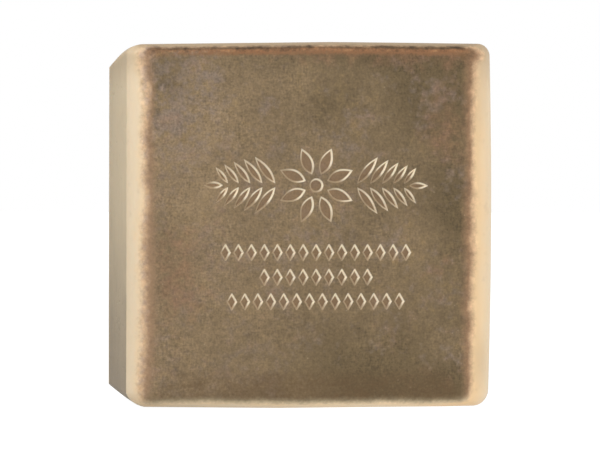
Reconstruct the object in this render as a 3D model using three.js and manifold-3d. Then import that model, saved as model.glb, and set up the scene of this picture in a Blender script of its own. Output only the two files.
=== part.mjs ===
// A square block of hand-made vintage cheddar, standing on one of its narrow sides.
// Its two broad faces carry a flat rind, and the edges round them are rubbed soft. A floral sprig
// and three rows of lozenges are pressed into the front face.
// Millimetres, +Z up. The origin is the middle of the footprint, and the front face looks along -Y.
import * as THREE from "three";
import { mergeVertices } from "three/addons/utils/BufferGeometryUtils.js";
import Module from "manifold-3d";

// Driving sizes of the block
const WIDTH = 90;
const HEIGHT = 88;
const DEPTH = 46;
const FRONT_PLANE = -DEPTH / 2;

// How far the rounding of the front edge reaches in from each side, and how deep it goes
const FRONT_ROUNDING = { left: 5.0, right: 5.2, top: 1.6, bottom: 2.4 };
const FRONT_ROUNDING_DEPTH = 4.0;
const CREASE_ANGLE = THREE.MathUtils.degToRad(66);
const BACK_ROUNDING = { left: 2.8, right: 3.0, top: 2.6, bottom: 2.2 };
const BACK_ROUNDING_DEPTH = 3.0;

// The narrow sides swell a little at mid-depth, but the one that it stands on is flat
const SIDE_SWELL = { left: 0.2, right: 1.0, top: 0.3, bottom: 0 };

// The corners of the outline: how far each reaches along the level side and along the upright one, and
// whether it is round, at a cut of 0, or cut off straight, at a cut of 1
const FACE_CORNER = {
  topRight: { level: 2.2, upright: 2.2, cut: 0 },
  topLeft: { level: 2.6, upright: 2.6, cut: 0 },
  bottomLeft: { level: 3.0, upright: 3.0, cut: 0 },
  bottomRight: { level: 2.4, upright: 2.4, cut: 0 },
};
const BODY_CORNER = {
  topRight: { level: 3.0, upright: 3.0, cut: 0 },
  topLeft: { level: 3.7, upright: 2.3, cut: 0.2 },
  bottomLeft: { level: 4.4, upright: 3.3, cut: 0.35 },
  bottomRight: { level: 3.8, upright: 3.8, cut: 0 },
};
const BACK_CORNER = {
  topRight: { level: 4.4, upright: 4.2, cut: 0.7 },
  topLeft: { level: 4.2, upright: 4.1, cut: 0.95 },
  bottomLeft: { level: 4.6, upright: 2.8, cut: 0.7 },
  bottomRight: { level: 4.6, upright: 4.2, cut: 0.7 },
};

// Unevenness of the outline: the top falls off towards the left, the underside lifts off at its ends,
// and the right upright edge bows outwards
const TOP_LEFT_FALL = 1.1;
const TOP_LEVEL_FROM = 4;
const FOOT_LIFT = { left: 0.65, right: 0.15 };
const FOOT_FLAT = { from: -8, to: 33 };
const UPRIGHT_BOW = 0.65;

// The pressing: its middle on the front face, its depth and the width of its sloping walls
const PRESS_CENTRE = new THREE.Vector2(0.3, 53.3);
const PRESS_DEPTH = 0.55;
const PRESS_WALL = 0.32;
const CUTTER_REACH = 1.5;

// The flower in the middle of the pressing
const PETALS = 8;
const PETAL = { foot: 2.9, length: 6.5, width: 2.8 };
const FLOWER_EYE_RADIUS = 1.6;

// The sprig on each side of the flower: leaf pairs that grow smaller, and one leaf at its tip
const SPRIG_START = 10.0;
const LEAF_PAIRS = 5;
const LEAF_PITCH = { first: 3.1, last: 2.4 };
const LEAF_LENGTH = { first: 7.8, last: 4.6 };
const LEAF_SLENDERNESS = 0.25;
const LEAF_ANGLE = THREE.MathUtils.degToRad(52);
const LEAF_OFFSET = 0.55;
const TIP_LEAF = { gap: 1.3, length: 4.4, width: 1.5 };

// The rows of lozenges under the flower: how far each row lies below it, and how many it holds
const LOZENGE = { width: 2.4, height: 4.1, pitch: 3.12 };
const LOZENGE_ROWS = [
  { drop: 16.0, count: 15 },
  { drop: 21.9, count: 9 },
  { drop: 27.7, count: 14 },
];

// How finely the form is drawn
const CORNER_STEPS = 6;
const SIDE_STEPS = 8;
const FRONT_STEPS = 5;
const SWELL_STEPS = 4;
const BACK_STEPS = 4;
const CURVE_STEPS = 5;

const SIDES = ["left", "right", "top", "bottom"];
const mix = THREE.MathUtils.lerp;

// One corner between two others.
function mixCorner(first, second, share) {
  const mixed = (key) => mix(first[key], second[key], share);
  return { level: mixed("level"), upright: mixed("upright"), cut: mixed("cut") };
}

// The stations along the depth. Each has its distance behind the front plane, the inset of each side,
// and its corners.
function stations() {
  const list = [];
  const insets = (of) => Object.fromEntries(SIDES.map((side) => [side, of(side)]));
  for (let i = 0; i < FRONT_STEPS; i++) {
    const angle = (CREASE_ANGLE * i) / FRONT_STEPS;
    const across = 1 - Math.sin(angle) / Math.sin(CREASE_ANGLE);
    const back = (1 - Math.cos(angle)) / (1 - Math.cos(CREASE_ANGLE));
    list.push({
      depth: FRONT_ROUNDING_DEPTH * back,
      inset: insets((side) => SIDE_SWELL[side] + FRONT_ROUNDING[side] * across),
      corner: (name) => mixCorner(FACE_CORNER[name], BODY_CORNER[name], 1 - across),
    });
  }
  const straight = DEPTH - FRONT_ROUNDING_DEPTH - BACK_ROUNDING_DEPTH;
  for (let i = 0; i < SWELL_STEPS; i++) {
    const share = i / SWELL_STEPS;
    const swell = 4 * share * (1 - share);
    list.push({
      depth: FRONT_ROUNDING_DEPTH + straight * share,
      inset: insets((side) => SIDE_SWELL[side] * (1 - swell)),
      corner: (name) => mixCorner(BODY_CORNER[name], BACK_CORNER[name], share),
    });
  }
  for (let i = 0; i <= BACK_STEPS; i++) {
    const angle = ((Math.PI / 2) * i) / BACK_STEPS;
    list.push({
      depth: DEPTH - BACK_ROUNDING_DEPTH * (1 - Math.sin(angle)),
      inset: insets((side) => SIDE_SWELL[side] + BACK_ROUNDING[side] * (1 - Math.cos(angle))),
      corner: (name) => BACK_CORNER[name],
    });
  }
  return list;
}

// Moves a point of the even outline to where it lies on the uneven block.
function unevenOutline(point) {
  const past = (value, limit, end) => Math.max(0, (value - limit) / (end - limit));
  const fall = TOP_LEFT_FALL * past(point.x, TOP_LEVEL_FROM, -WIDTH / 2);
  const lift =
    FOOT_LIFT.left * past(point.x, FOOT_FLAT.from, -WIDTH / 2) +
    FOOT_LIFT.right * past(point.x, FOOT_FLAT.to, WIDTH / 2);
  const height = THREE.MathUtils.clamp(point.y / HEIGHT, 0, 1);
  const fromMiddle = (2 * height - 1) ** 2;
  const bow = UPRIGHT_BOW * past(point.x, 0, WIDTH / 2) * fromMiddle;
  return new THREE.Vector2(point.x - bow, point.y + lift * (1 - height) - fall * height);
}

// One corner of a ring, anticlockwise: a quarter of an ellipse, drawn towards its chord by the cut.
function cornerPoints(corner, sideX, sideY, quarter) {
  const start = (quarter * Math.PI) / 2;
  const inX = quarter === 1 || quarter === 2 ? corner.level : -corner.level;
  const inY = quarter < 2 ? -corner.upright : corner.upright;
  const arc = new THREE.EllipseCurve(
    sideX + inX, sideY + inY, corner.level, corner.upright, start, start + Math.PI / 2,
  );
  const chord = new THREE.LineCurve(arc.getPoint(0), arc.getPoint(1));
  return arc.getPoints(CORNER_STEPS).map((point, i) => point.lerp(chord.getPoint(i / CORNER_STEPS), corner.cut));
}

// The closed ring of one station, anticlockwise as seen from the front.
function ring(station) {
  const right = WIDTH / 2 - station.inset.right;
  const left = -WIDTH / 2 + station.inset.left;
  const top = HEIGHT - station.inset.top;
  const bottom = station.inset.bottom;
  const corners = [
    cornerPoints(station.corner("topRight"), right, top, 0),
    cornerPoints(station.corner("topLeft"), left, top, 1),
    cornerPoints(station.corner("bottomLeft"), left, bottom, 2),
    cornerPoints(station.corner("bottomRight"), right, bottom, 3),
  ];
  const points = corners.flatMap((corner, i) => {
    const side = new THREE.LineCurve(corner[CORNER_STEPS], corners[(i + 1) % corners.length][0]);
    return [...corner, ...side.getPoints(SIDE_STEPS).slice(1, -1)];
  });
  return points.map(unevenOutline);
}

// The plain block: rings joined along the depth, closed by the two broad faces.
function blockGeometry() {
  const list = stations();
  const rings = list.map(ring);
  const count = rings[0].length;
  const positions = rings.flatMap((points, k) =>
    points.flatMap((point) => [point.x, FRONT_PLANE + list[k].depth, point.y]),
  );
  const index = [];
  for (let k = 0; k + 1 < rings.length; k++) {
    for (let i = 0; i < count; i++) {
      const a = k * count + i;
      const b = k * count + ((i + 1) % count);
      index.push(a, a + count, b, b, a + count, b + count);
    }
  }
  const last = (rings.length - 1) * count;
  for (const [a, b, c] of THREE.ShapeUtils.triangulateShape(rings[0], [])) {
    index.push(a, b, c);
  }
  for (const [a, b, c] of THREE.ShapeUtils.triangulateShape(rings[rings.length - 1], [])) {
    index.push(last + a, last + c, last + b);
  }
  const geometry = new THREE.BufferGeometry();
  geometry.setAttribute("position", new THREE.Float32BufferAttribute(positions, 3));
  geometry.setIndex(index);
  return geometry;
}

// A pointed leaf from its foot, along a direction, as a shape on the front face.
function leafShape(foot, angle, length, width) {
  const along = new THREE.Vector2(Math.cos(angle), Math.sin(angle));
  const aside = new THREE.Vector2(-along.y, along.x);
  const at = (share, offset) => foot.clone().addScaledVector(along, share * length).addScaledVector(aside, offset);
  const tip = at(1, 0);
  const shape = new THREE.Shape();
  shape.moveTo(foot.x, foot.y);
  const right = at(0.42, -width);
  shape.quadraticCurveTo(right.x, right.y, tip.x, tip.y);
  const left = at(0.42, width);
  shape.quadraticCurveTo(left.x, left.y, foot.x, foot.y);
  return shape;
}

// The flower: a round eye and its petals.
function flowerShapes() {
  const eye = new THREE.Shape().absarc(0, 0, FLOWER_EYE_RADIUS, 0, 2 * Math.PI);
  const petals = Array.from({ length: PETALS }, (_, k) => {
    const angle = ((k + 0.5) * 2 * Math.PI) / PETALS;
    const foot = new THREE.Vector2(Math.cos(angle), Math.sin(angle)).multiplyScalar(PETAL.foot);
    return leafShape(foot, angle, PETAL.length, PETAL.width);
  });
  return [eye, ...petals];
}

// One sprig, to the right of the flower for side 1 and to the left for side -1.
function sprigShapes(side) {
  const shapes = [];
  const turned = (angle) => (side > 0 ? angle : Math.PI - angle);
  let along = SPRIG_START;
  for (let pair = 0; pair < LEAF_PAIRS; pair++) {
    const share = pair / (LEAF_PAIRS - 1);
    const length = mix(LEAF_LENGTH.first, LEAF_LENGTH.last, share);
    for (const up of [1, -1]) {
      const foot = new THREE.Vector2(side * along, up * LEAF_OFFSET);
      shapes.push(leafShape(foot, turned(up * LEAF_ANGLE), length, length * LEAF_SLENDERNESS));
    }
    along += pair < LEAF_PAIRS - 1 ? mix(LEAF_PITCH.first, LEAF_PITCH.last, share) : TIP_LEAF.gap;
  }
  shapes.push(leafShape(new THREE.Vector2(side * along, 0), turned(0), TIP_LEAF.length, TIP_LEAF.width));
  return shapes;
}

// The rows of lozenges, each row centred under the flower.
function lozengeShapes() {
  return LOZENGE_ROWS.flatMap(({ drop, count }) =>
    Array.from({ length: count }, (_, k) => {
      const x = (k - (count - 1) / 2) * LOZENGE.pitch;
      return new THREE.Shape([
        new THREE.Vector2(x + LOZENGE.width / 2, -drop),
        new THREE.Vector2(x, -drop + LOZENGE.height / 2),
        new THREE.Vector2(x - LOZENGE.width / 2, -drop),
        new THREE.Vector2(x, -drop - LOZENGE.height / 2),
      ]);
    }),
  );
}

// The tool that presses one shape: narrow at its floor, full size at the front plane.
function cutterGeometry(shape) {
  const geometry = new THREE.ExtrudeGeometry(shape, {
    depth: CUTTER_REACH,
    curveSegments: CURVE_STEPS,
    bevelEnabled: true,
    bevelSegments: 1,
    bevelThickness: PRESS_DEPTH,
    bevelSize: PRESS_WALL,
    bevelOffset: -PRESS_WALL,
  });
  geometry.rotateX(Math.PI / 2);
  geometry.translate(PRESS_CENTRE.x, FRONT_PLANE, PRESS_CENTRE.y);
  return geometry;
}

const wasm = await Module();
wasm.setup();

// A closed geometry as a solid that can be cut and joined.
function solidOf(geometry) {
  const plain = geometry.clone();
  plain.deleteAttribute("normal");
  plain.deleteAttribute("uv");
  const merged = mergeVertices(plain, 1e-4);
  return new wasm.Manifold(
    new wasm.Mesh({
      numProp: 3,
      vertProperties: new Float32Array(merged.attributes.position.array),
      triVerts: new Uint32Array(merged.index.array),
    }),
  );
}

// A solid as a geometry that a mesh can show.
function geometryOf(solid) {
  const { vertProperties, triVerts } = solid.getMesh();
  const geometry = new THREE.BufferGeometry();
  geometry.setAttribute("position", new THREE.BufferAttribute(vertProperties, 3));
  geometry.setIndex(new THREE.BufferAttribute(triVerts, 1));
  geometry.computeVertexNormals();
  return geometry;
}

// The block with its pressing cut in.
function cheddarBlock() {
  const shapes = [...flowerShapes(), ...sprigShapes(1), ...sprigShapes(-1), ...lozengeShapes()];
  const pressing = shapes.map((shape) => solidOf(cutterGeometry(shape))).reduce((all, one) => all.add(one));
  const rind = new THREE.MeshStandardMaterial({ color: 0x86705a, roughness: 0.62, metalness: 0 });
  const mesh = new THREE.Mesh(geometryOf(solidOf(blockGeometry()).subtract(pressing)), rind);
  mesh.name = "cheddar_block";
  return mesh;
}

const group = new THREE.Group();
group.add(cheddarBlock());

export default group;
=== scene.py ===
"""A square block of vintage cheddar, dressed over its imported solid.

The block's mesh follows the same driving sizes as the solid, in millimetres, and adds what is too fine for
it: rounded lips round the pressed design, soft undulation and the rubbed edges. Lengths become metres where
a mesh, a lamp or the camera is made.
"""

import logging
import math
from abc import ABC, abstractmethod
from dataclasses import dataclass, field
from enum import Enum
from typing import Any, NamedTuple

import bpy
import numpy as np
from mathutils import Matrix, Vector, noise
from mathutils.geometry import delaunay_2d_cdt

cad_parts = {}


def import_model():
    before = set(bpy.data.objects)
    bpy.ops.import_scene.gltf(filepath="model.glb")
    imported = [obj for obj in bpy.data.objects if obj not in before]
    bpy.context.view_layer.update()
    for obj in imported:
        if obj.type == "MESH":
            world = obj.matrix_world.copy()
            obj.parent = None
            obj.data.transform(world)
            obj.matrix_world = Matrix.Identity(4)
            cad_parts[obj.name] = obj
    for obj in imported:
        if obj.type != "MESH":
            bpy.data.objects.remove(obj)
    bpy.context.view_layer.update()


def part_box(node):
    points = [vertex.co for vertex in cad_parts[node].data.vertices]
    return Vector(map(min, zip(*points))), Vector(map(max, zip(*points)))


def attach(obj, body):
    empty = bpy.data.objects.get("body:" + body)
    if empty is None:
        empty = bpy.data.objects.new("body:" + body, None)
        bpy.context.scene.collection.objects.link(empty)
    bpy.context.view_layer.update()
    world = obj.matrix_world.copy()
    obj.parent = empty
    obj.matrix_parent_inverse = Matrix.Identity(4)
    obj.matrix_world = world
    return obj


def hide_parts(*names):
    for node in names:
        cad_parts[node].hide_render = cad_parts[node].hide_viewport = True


LOG = logging.getLogger("cheddar")
MM = 0.001
NODE = "cheddar_block"
BODY = "root"
JITTER = 0.18
RIM_MARGIN = 0.6
HOLE_MARGIN = 0.4
WELD_DISTANCE = 1e-6

Socket = bpy.types.NodeSocket
Colour = tuple[float, float, float, float]


class Sides(NamedTuple):
    """One length for each narrow side, as the front face shows them."""

    left: float
    right: float
    top: float
    bottom: float


class Corner(NamedTuple):
    """How far a corner reaches along its level and upright sides, and its cut: 0 is round, 1 is straight."""

    level: float
    upright: float
    cut: float


class Corners(NamedTuple):
    """The four corners of a ring, as the front face shows them."""

    top_right: Corner
    top_left: Corner
    bottom_left: Corner
    bottom_right: Corner


class Station(NamedTuple):
    """One ring of the block: how far behind the front plane, how far in from each side, and its corners."""

    depth: float
    inset: np.ndarray
    corners: np.ndarray


class Zone(Enum):
    """Which part of the block a station belongs to."""

    FRONT = "front edge"
    BODY = "narrow sides"
    BACK = "back edge"


def smooth_step(value: np.ndarray, low: float, high: float) -> np.ndarray:
    """Rises smoothly from 0 at low to 1 at high."""
    share = np.clip((value - low) / (high - low), 0.0, 1.0)
    return share * share * (3.0 - 2.0 * share)


def ramp(value: np.ndarray, start: float, end: float) -> np.ndarray:
    """Stays at 0 up to start, and then grows straight on through 1 at end."""
    return np.maximum(0.0, (value - start) / (end - start))


def around(turn: float | np.ndarray) -> np.ndarray:
    """Points of the unit circle, turned anticlockwise from level by an angle."""
    return np.stack([np.cos(turn), np.sin(turn)], axis=-1)


def at_depth(outline: np.ndarray, y: float) -> np.ndarray:
    """The points of an outline of x and z, all at one place along Y."""
    return np.column_stack([outline[:, 0], np.full(len(outline), y), outline[:, 1]])


def linked(name: str, data: Any) -> bpy.types.Object:
    """Makes an object and adds it to the scene.

    Args:
        name: Its name.
        data: Its mesh, light or camera.

    Returns:
        The object.
    """
    made = bpy.data.objects.new(name, data)
    bpy.context.scene.collection.objects.link(made)
    return made


def closed_outline(arcs: list[np.ndarray], side_steps: int) -> np.ndarray:
    """Joins corner arcs into one closed outline.

    Args:
        arcs: The corners, one after the other, with one row of x and z for each point.
        side_steps: How many steps each straight side between two corners has.

    Returns:
        The outline's points.
    """
    shares = np.linspace(0.0, 1.0, side_steps + 1)[1:-1, None]
    pieces = []
    for arc, following in zip(arcs, arcs[1:] + arcs[:1]):
        pieces += [arc, arc[-1] + (following[0] - arc[-1]) * shares]
    return np.vstack(pieces)


@dataclass(frozen=True)
class BlockForm:
    """The plain form of the block, without its pressing. Lengths are in millimetres."""

    width: float
    height: float
    depth: float
    front_rounding: Sides = Sides(left=5.0, right=5.2, top=1.6, bottom=2.4)
    front_rounding_depth: float = 4.0
    crease_angle: float = math.radians(66)
    back_rounding: Sides = Sides(left=2.8, right=3.0, top=2.6, bottom=2.2)
    back_rounding_depth: float = 3.0
    side_swell: Sides = Sides(left=0.2, right=1.0, top=0.3, bottom=0.0)
    face_corners: Corners = Corners(
        top_right=Corner(2.2, 2.2, 0.0),
        top_left=Corner(2.6, 2.6, 0.0),
        bottom_left=Corner(3.0, 3.0, 0.0),
        bottom_right=Corner(2.4, 2.4, 0.0),
    )
    body_corners: Corners = Corners(
        top_right=Corner(3.0, 3.0, 0.0),
        top_left=Corner(3.7, 2.3, 0.2),
        bottom_left=Corner(4.4, 3.3, 0.35),
        bottom_right=Corner(3.8, 3.8, 0.0),
    )
    back_corners: Corners = Corners(
        top_right=Corner(4.4, 4.2, 0.7),
        top_left=Corner(4.2, 4.1, 0.95),
        bottom_left=Corner(4.6, 2.8, 0.7),
        bottom_right=Corner(4.6, 4.2, 0.7),
    )
    top_left_fall: float = 1.1
    top_level_from: float = 4.0
    foot_lift_left: float = 0.65
    foot_lift_right: float = 0.15
    foot_flat_from: float = -8.0
    foot_flat_to: float = 33.0
    upright_bow: float = 0.65
    front_steps: int = 14
    body_steps: int = 36
    back_steps: int = 8
    corner_steps: int = 10
    side_steps: int = 84

    @property
    def front_plane(self) -> float:
        """Where the front face lies along Y."""
        return -self.depth / 2

    def stations(self) -> list[tuple[Zone, Station]]:
        """The rings from the front face to the back face.

        Returns:
            Each ring's zone and station, front to back.
        """
        swell = np.array(self.side_swell)
        face, body, back = (np.array(c) for c in (self.face_corners, self.body_corners, self.back_corners))
        listed = []
        for i in range(self.front_steps):
            angle = self.crease_angle * i / self.front_steps
            across = 1.0 - math.sin(angle) / math.sin(self.crease_angle)
            behind = (1.0 - math.cos(angle)) / (1.0 - math.cos(self.crease_angle))
            station = Station(
                self.front_rounding_depth * behind,
                swell + np.array(self.front_rounding) * across,
                body + (face - body) * across,
            )
            listed.append((Zone.FRONT, station))
        straight = self.depth - self.front_rounding_depth - self.back_rounding_depth
        for i in range(self.body_steps):
            share = i / self.body_steps
            bulge = 4.0 * share * (1.0 - share)
            depth = self.front_rounding_depth + straight * share
            listed.append((Zone.BODY, Station(depth, swell * (1.0 - bulge), body + (back - body) * share)))
        for i in range(self.back_steps + 1):
            angle = 0.5 * math.pi * i / self.back_steps
            inset = swell + np.array(self.back_rounding) * (1.0 - math.cos(angle))
            depth = self.depth - self.back_rounding_depth * (1.0 - math.sin(angle))
            listed.append((Zone.BACK, Station(depth, inset, back)))
        return listed

    def fall(self, x: np.ndarray) -> np.ndarray:
        """How far the top falls off at x."""
        return self.top_left_fall * ramp(x, self.top_level_from, -self.width / 2)

    def lift(self, x: np.ndarray) -> np.ndarray:
        """How far the underside lifts off at x.

        Args:
            x: Places across the block.

        Returns:
            The lifts.
        """
        left = ramp(x, self.foot_flat_from, -self.width / 2)
        right = ramp(x, self.foot_flat_to, self.width / 2)
        return self.foot_lift_left * left + self.foot_lift_right * right

    def bow(self, x: np.ndarray, share_up: np.ndarray) -> np.ndarray:
        """How far a point at x is pulled in to leave the right upright edge bowed."""
        return self.upright_bow * ramp(x, 0.0, self.width / 2) * (2.0 * share_up - 1.0) ** 2

    def uneven(self, x: np.ndarray, z: np.ndarray) -> np.ndarray:
        """Moves points of the even outline to where they lie on the uneven block.

        Args:
            x: Places across the block.
            z: Heights on the even block.

        Returns:
            The moved points, one row of x and z each.
        """
        share_up = np.clip(z / self.height, 0.0, 1.0)
        moved_x = x - self.bow(x, share_up)
        moved_z = z + self.lift(x) * (1.0 - share_up) - self.fall(x) * share_up
        return np.column_stack([moved_x, moved_z])

    def ring(self, station: Station) -> np.ndarray:
        """The closed ring of one station, anticlockwise as seen from the front.

        Args:
            station: The station to draw.

        Returns:
            Its points, one row of x and z each.
        """
        inset_left, inset_right, inset_top, inset_bottom = station.inset
        right, left = self.width / 2 - inset_right, -self.width / 2 + inset_left
        top, bottom = self.height - inset_top, inset_bottom
        signs = ((1, 1), (-1, 1), (-1, -1), (1, -1))
        shares = np.linspace(0.0, 1.0, self.corner_steps + 1)
        arcs = []
        for quarter, ((level, upright, cut), (sign_x, sign_z)) in enumerate(zip(station.corners, signs)):
            centre_x = (right if sign_x > 0 else left) - sign_x * level
            centre_z = (top if sign_z > 0 else bottom) - sign_z * upright
            turn = (quarter + shares) * 0.5 * math.pi
            arc = np.array([centre_x, centre_z]) + around(turn) * np.array([level, upright])
            chord = arc[0] + (arc[-1] - arc[0]) * shares[:, None]
            arcs.append(arc + (chord - arc) * cut)
        even = closed_outline(arcs, self.side_steps)
        return self.uneven(even[:, 0], even[:, 1])

    def inside_edges(self, x: np.ndarray, z: np.ndarray) -> np.ndarray:
        """How far points lie inside the body's outline.

        Args:
            x: Places across the block.
            z: Heights.

        Returns:
            One row each, with the distances from the left, right, top and bottom sides.
        """
        share_up = np.clip(z / self.height, 0.0, 1.0)
        return np.column_stack(
            [
                x + self.width / 2 - self.side_swell.left,
                self.width / 2 - self.side_swell.right - self.bow(x, share_up) - x,
                self.height - self.side_swell.top - self.fall(x) - z,
                z - self.lift(x) * (1.0 - share_up),
            ]
        )


class Motif(ABC):
    """One pressed shape: a convex outline that can be drawn larger or smaller."""

    @abstractmethod
    def loop(self, offset: float) -> np.ndarray:
        """The outline, anticlockwise, moved outwards by an offset, or inwards by a negative one."""


@dataclass(frozen=True)
class Leaf(Motif):
    """A leaf or petal that is pointed at both ends, widest a little below its middle."""

    foot: np.ndarray
    angle: float
    length: float
    width: float
    belly: float = 0.42
    steps: int = 18
    outward_reach: float = 1.25

    def loop(self, offset: float) -> np.ndarray:
        """The leaf's outline.

        Args:
            offset: How far outwards its sides are moved.

        Returns:
            The points, one row of x and z each.
        """
        along = around(self.angle)
        aside = np.array([-along[1], along[0]])
        foot_reach = math.hypot(1.0, self.belly * self.length / self.width)
        tip_reach = math.hypot(1.0, (1.0 - self.belly) * self.length / self.width)
        if offset > 0:
            foot_reach = tip_reach = self.outward_reach
        foot = self.foot - along * offset * foot_reach
        length = self.length + offset * (foot_reach + tip_reach)
        width = self.width + 2.0 * offset
        tip = foot + along * length
        middle = foot + along * length * self.belly
        share = np.linspace(0.0, 1.0, self.steps + 1)[:-1, None]

        def curve(start: np.ndarray, control: np.ndarray, end: np.ndarray) -> np.ndarray:
            """A quadratic curve without its last point."""
            return (1 - share) ** 2 * start + 2 * share * (1 - share) * control + share**2 * end

        return np.vstack([curve(foot, middle - aside * width, tip), curve(tip, middle + aside * width, foot)])


@dataclass(frozen=True)
class Disc(Motif):
    """A round eye."""

    centre: np.ndarray
    radius: float
    steps: int = 32

    def loop(self, offset: float) -> np.ndarray:
        """The circle, moved outwards by an offset."""
        turn = np.linspace(0.0, 2.0 * math.pi, self.steps, endpoint=False)
        return self.centre + (self.radius + offset) * around(turn)


@dataclass(frozen=True)
class Lozenge(Motif):
    """An upright lozenge with slightly rounded corners."""

    centre: np.ndarray
    width: float
    height: float
    corner: float = 0.16
    least_corner: float = 0.05
    corner_growth: float = 0.6
    corner_steps: int = 3
    side_steps: int = 5

    def loop(self, offset: float) -> np.ndarray:
        """The lozenge's outline.

        Args:
            offset: How far outwards its sides are moved.

        Returns:
            The points, one row of x and z each.
        """
        half_width, half_height = self.width / 2, self.height / 2
        slant = math.hypot(half_width, half_height)
        radius = max(self.least_corner, self.corner + self.corner_growth * offset)
        arcs = []
        for quarter in range(4):
            upright = quarter % 2 == 1
            half_sine = (half_width if upright else half_height) / slant
            out = around(quarter * math.pi / 2)
            reach = (half_height if upright else half_width) + (offset - radius) / half_sine
            spread = math.pi / 2 - math.asin(half_sine)
            turn = quarter * math.pi / 2 + np.linspace(-spread, spread, self.corner_steps + 1)
            arcs.append(out * reach + radius * around(turn))
        return self.centre + closed_outline(arcs, self.side_steps)


class PressLoop(NamedTuple):
    """One loop round a pressed shape: its offset, its depth, and how much it is wall and floor."""

    offset: float
    depth: float
    wall: float
    floor: float


@dataclass(frozen=True)
class Pressing:
    """The design pressed into the front face: a flower between two sprigs, over rows of lozenges."""

    centre: tuple[float, float] = (0.3, 53.3)
    depth: float = 0.55
    wall: float = 0.32
    petals: int = 8
    petal_foot: float = 2.9
    petal_length: float = 6.5
    petal_width: float = 2.8
    eye_radius: float = 1.6
    sprig_start: float = 10.0
    leaf_pairs: int = 5
    leaf_pitch: tuple[float, float] = (3.1, 2.4)
    leaf_length: tuple[float, float] = (7.8, 4.6)
    leaf_slenderness: float = 0.25
    leaf_angle: float = math.radians(52)
    leaf_offset: float = 0.55
    tip_gap: float = 1.3
    tip_length: float = 4.4
    tip_width: float = 1.5
    lozenge_width: float = 2.4
    lozenge_height: float = 4.1
    lozenge_pitch: float = 3.12
    lozenge_rows: tuple[tuple[float, int], ...] = ((16.0, 15), (21.9, 9), (27.7, 14))

    def loops(self) -> list[PressLoop]:
        """The section of every pressed shape, from the rind outside it to its floor.

        Returns:
            Its loops, from the outermost to the innermost.
        """
        return [
            PressLoop(0.20, 0.0, 0.0, 0.0),
            PressLoop(0.08, 0.012, 0.30, 0.0),
            PressLoop(0.0, 0.06, 0.95, 0.0),
            PressLoop(-0.06, 0.16, 1.0, 0.0),
            PressLoop(-self.wall + 0.06, 0.85 * self.depth, 1.0, 0.0),
            PressLoop(-self.wall, 0.97 * self.depth, 0.55, 0.6),
            PressLoop(-self.wall - 0.10, self.depth, 0.0, 1.0),
        ]

    def flower(self) -> list[Motif]:
        """The round eye and its petals.

        Returns:
            The eye first, and then the petals, anticlockwise.
        """
        middle = np.array(self.centre)
        shapes: list[Motif] = [Disc(middle, self.eye_radius)]
        for k in range(self.petals):
            angle = (k + 0.5) * 2.0 * math.pi / self.petals
            foot = middle + self.petal_foot * around(angle)
            shapes.append(Leaf(foot, angle, self.petal_length, self.petal_width))
        return shapes

    def sprig(self, side: int) -> list[Motif]:
        """One sprig of leaf pairs with a leaf at its tip.

        Args:
            side: 1 for the sprig to the right of the flower, -1 for the one to its left.

        Returns:
            Its leaves.
        """
        middle = np.array(self.centre)
        shapes: list[Motif] = []
        along = self.sprig_start

        def turned(angle: float) -> float:
            """The angle, mirrored on the left side."""
            return angle if side > 0 else math.pi - angle

        for pair in range(self.leaf_pairs):
            share = pair / (self.leaf_pairs - 1)
            length = self.leaf_length[0] + (self.leaf_length[1] - self.leaf_length[0]) * share
            for up in (1, -1):
                foot = middle + np.array([side * along, up * self.leaf_offset])
                width = length * self.leaf_slenderness
                shapes.append(Leaf(foot, turned(up * self.leaf_angle), length, width))
            last = pair == self.leaf_pairs - 1
            pitch = self.leaf_pitch[0] + (self.leaf_pitch[1] - self.leaf_pitch[0]) * share
            along += self.tip_gap if last else pitch
        foot = middle + np.array([side * along, 0.0])
        shapes.append(Leaf(foot, turned(0.0), self.tip_length, self.tip_width))
        return shapes

    def lozenges(self) -> list[Motif]:
        """The rows of lozenges, each centred under the flower.

        Returns:
            The lozenges, row by row from the top.
        """
        shapes: list[Motif] = []
        for drop, count in self.lozenge_rows:
            for k in range(count):
                shift = np.array([(k - (count - 1) / 2) * self.lozenge_pitch, -drop])
                shapes.append(Lozenge(np.array(self.centre) + shift, self.lozenge_width, self.lozenge_height))
        return shapes

    def motifs(self) -> list[Motif]:
        """Every pressed shape."""
        return [*self.flower(), *self.sprig(1), *self.sprig(-1), *self.lozenges()]


@dataclass
class ClosedMesh:
    """Points, faces and per-point values of one closed mesh, gathered piece by piece."""

    names: tuple[str, ...]
    points: list[np.ndarray] = field(default_factory=list)
    values: dict[str, list[np.ndarray]] = field(default_factory=dict)
    faces: list[tuple[int, ...]] = field(default_factory=list)
    count: int = 0

    def add_points(self, points: np.ndarray, **values: float | np.ndarray) -> np.ndarray:
        """Adds points with their values.

        Args:
            points: One row of x, y and z each, in millimetres.
            **values: A number or one number a point for each name. A name that is left out gets 0.

        Returns:
            The points' indices.
        """
        for name in self.names:
            given = np.broadcast_to(np.asarray(values.get(name, 0.0), float), len(points))
            self.values.setdefault(name, []).append(given)
        self.points.append(points)
        first = self.count
        self.count += len(points)
        return np.arange(first, self.count)

    def add_band(self, outer: np.ndarray, inner: np.ndarray) -> None:
        """Joins two closed loops of equally many points, both anticlockwise from outside."""
        following_outer, following_inner = np.roll(outer, -1), np.roll(inner, -1)
        self.faces += list(zip(outer, following_outer, following_inner, inner))

    def value(self, name: str) -> np.ndarray:
        """All points' values of one name."""
        return np.concatenate(self.values[name])

    def all_points(self) -> np.ndarray:
        """All points, one row each."""
        return np.vstack(self.points)


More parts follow.
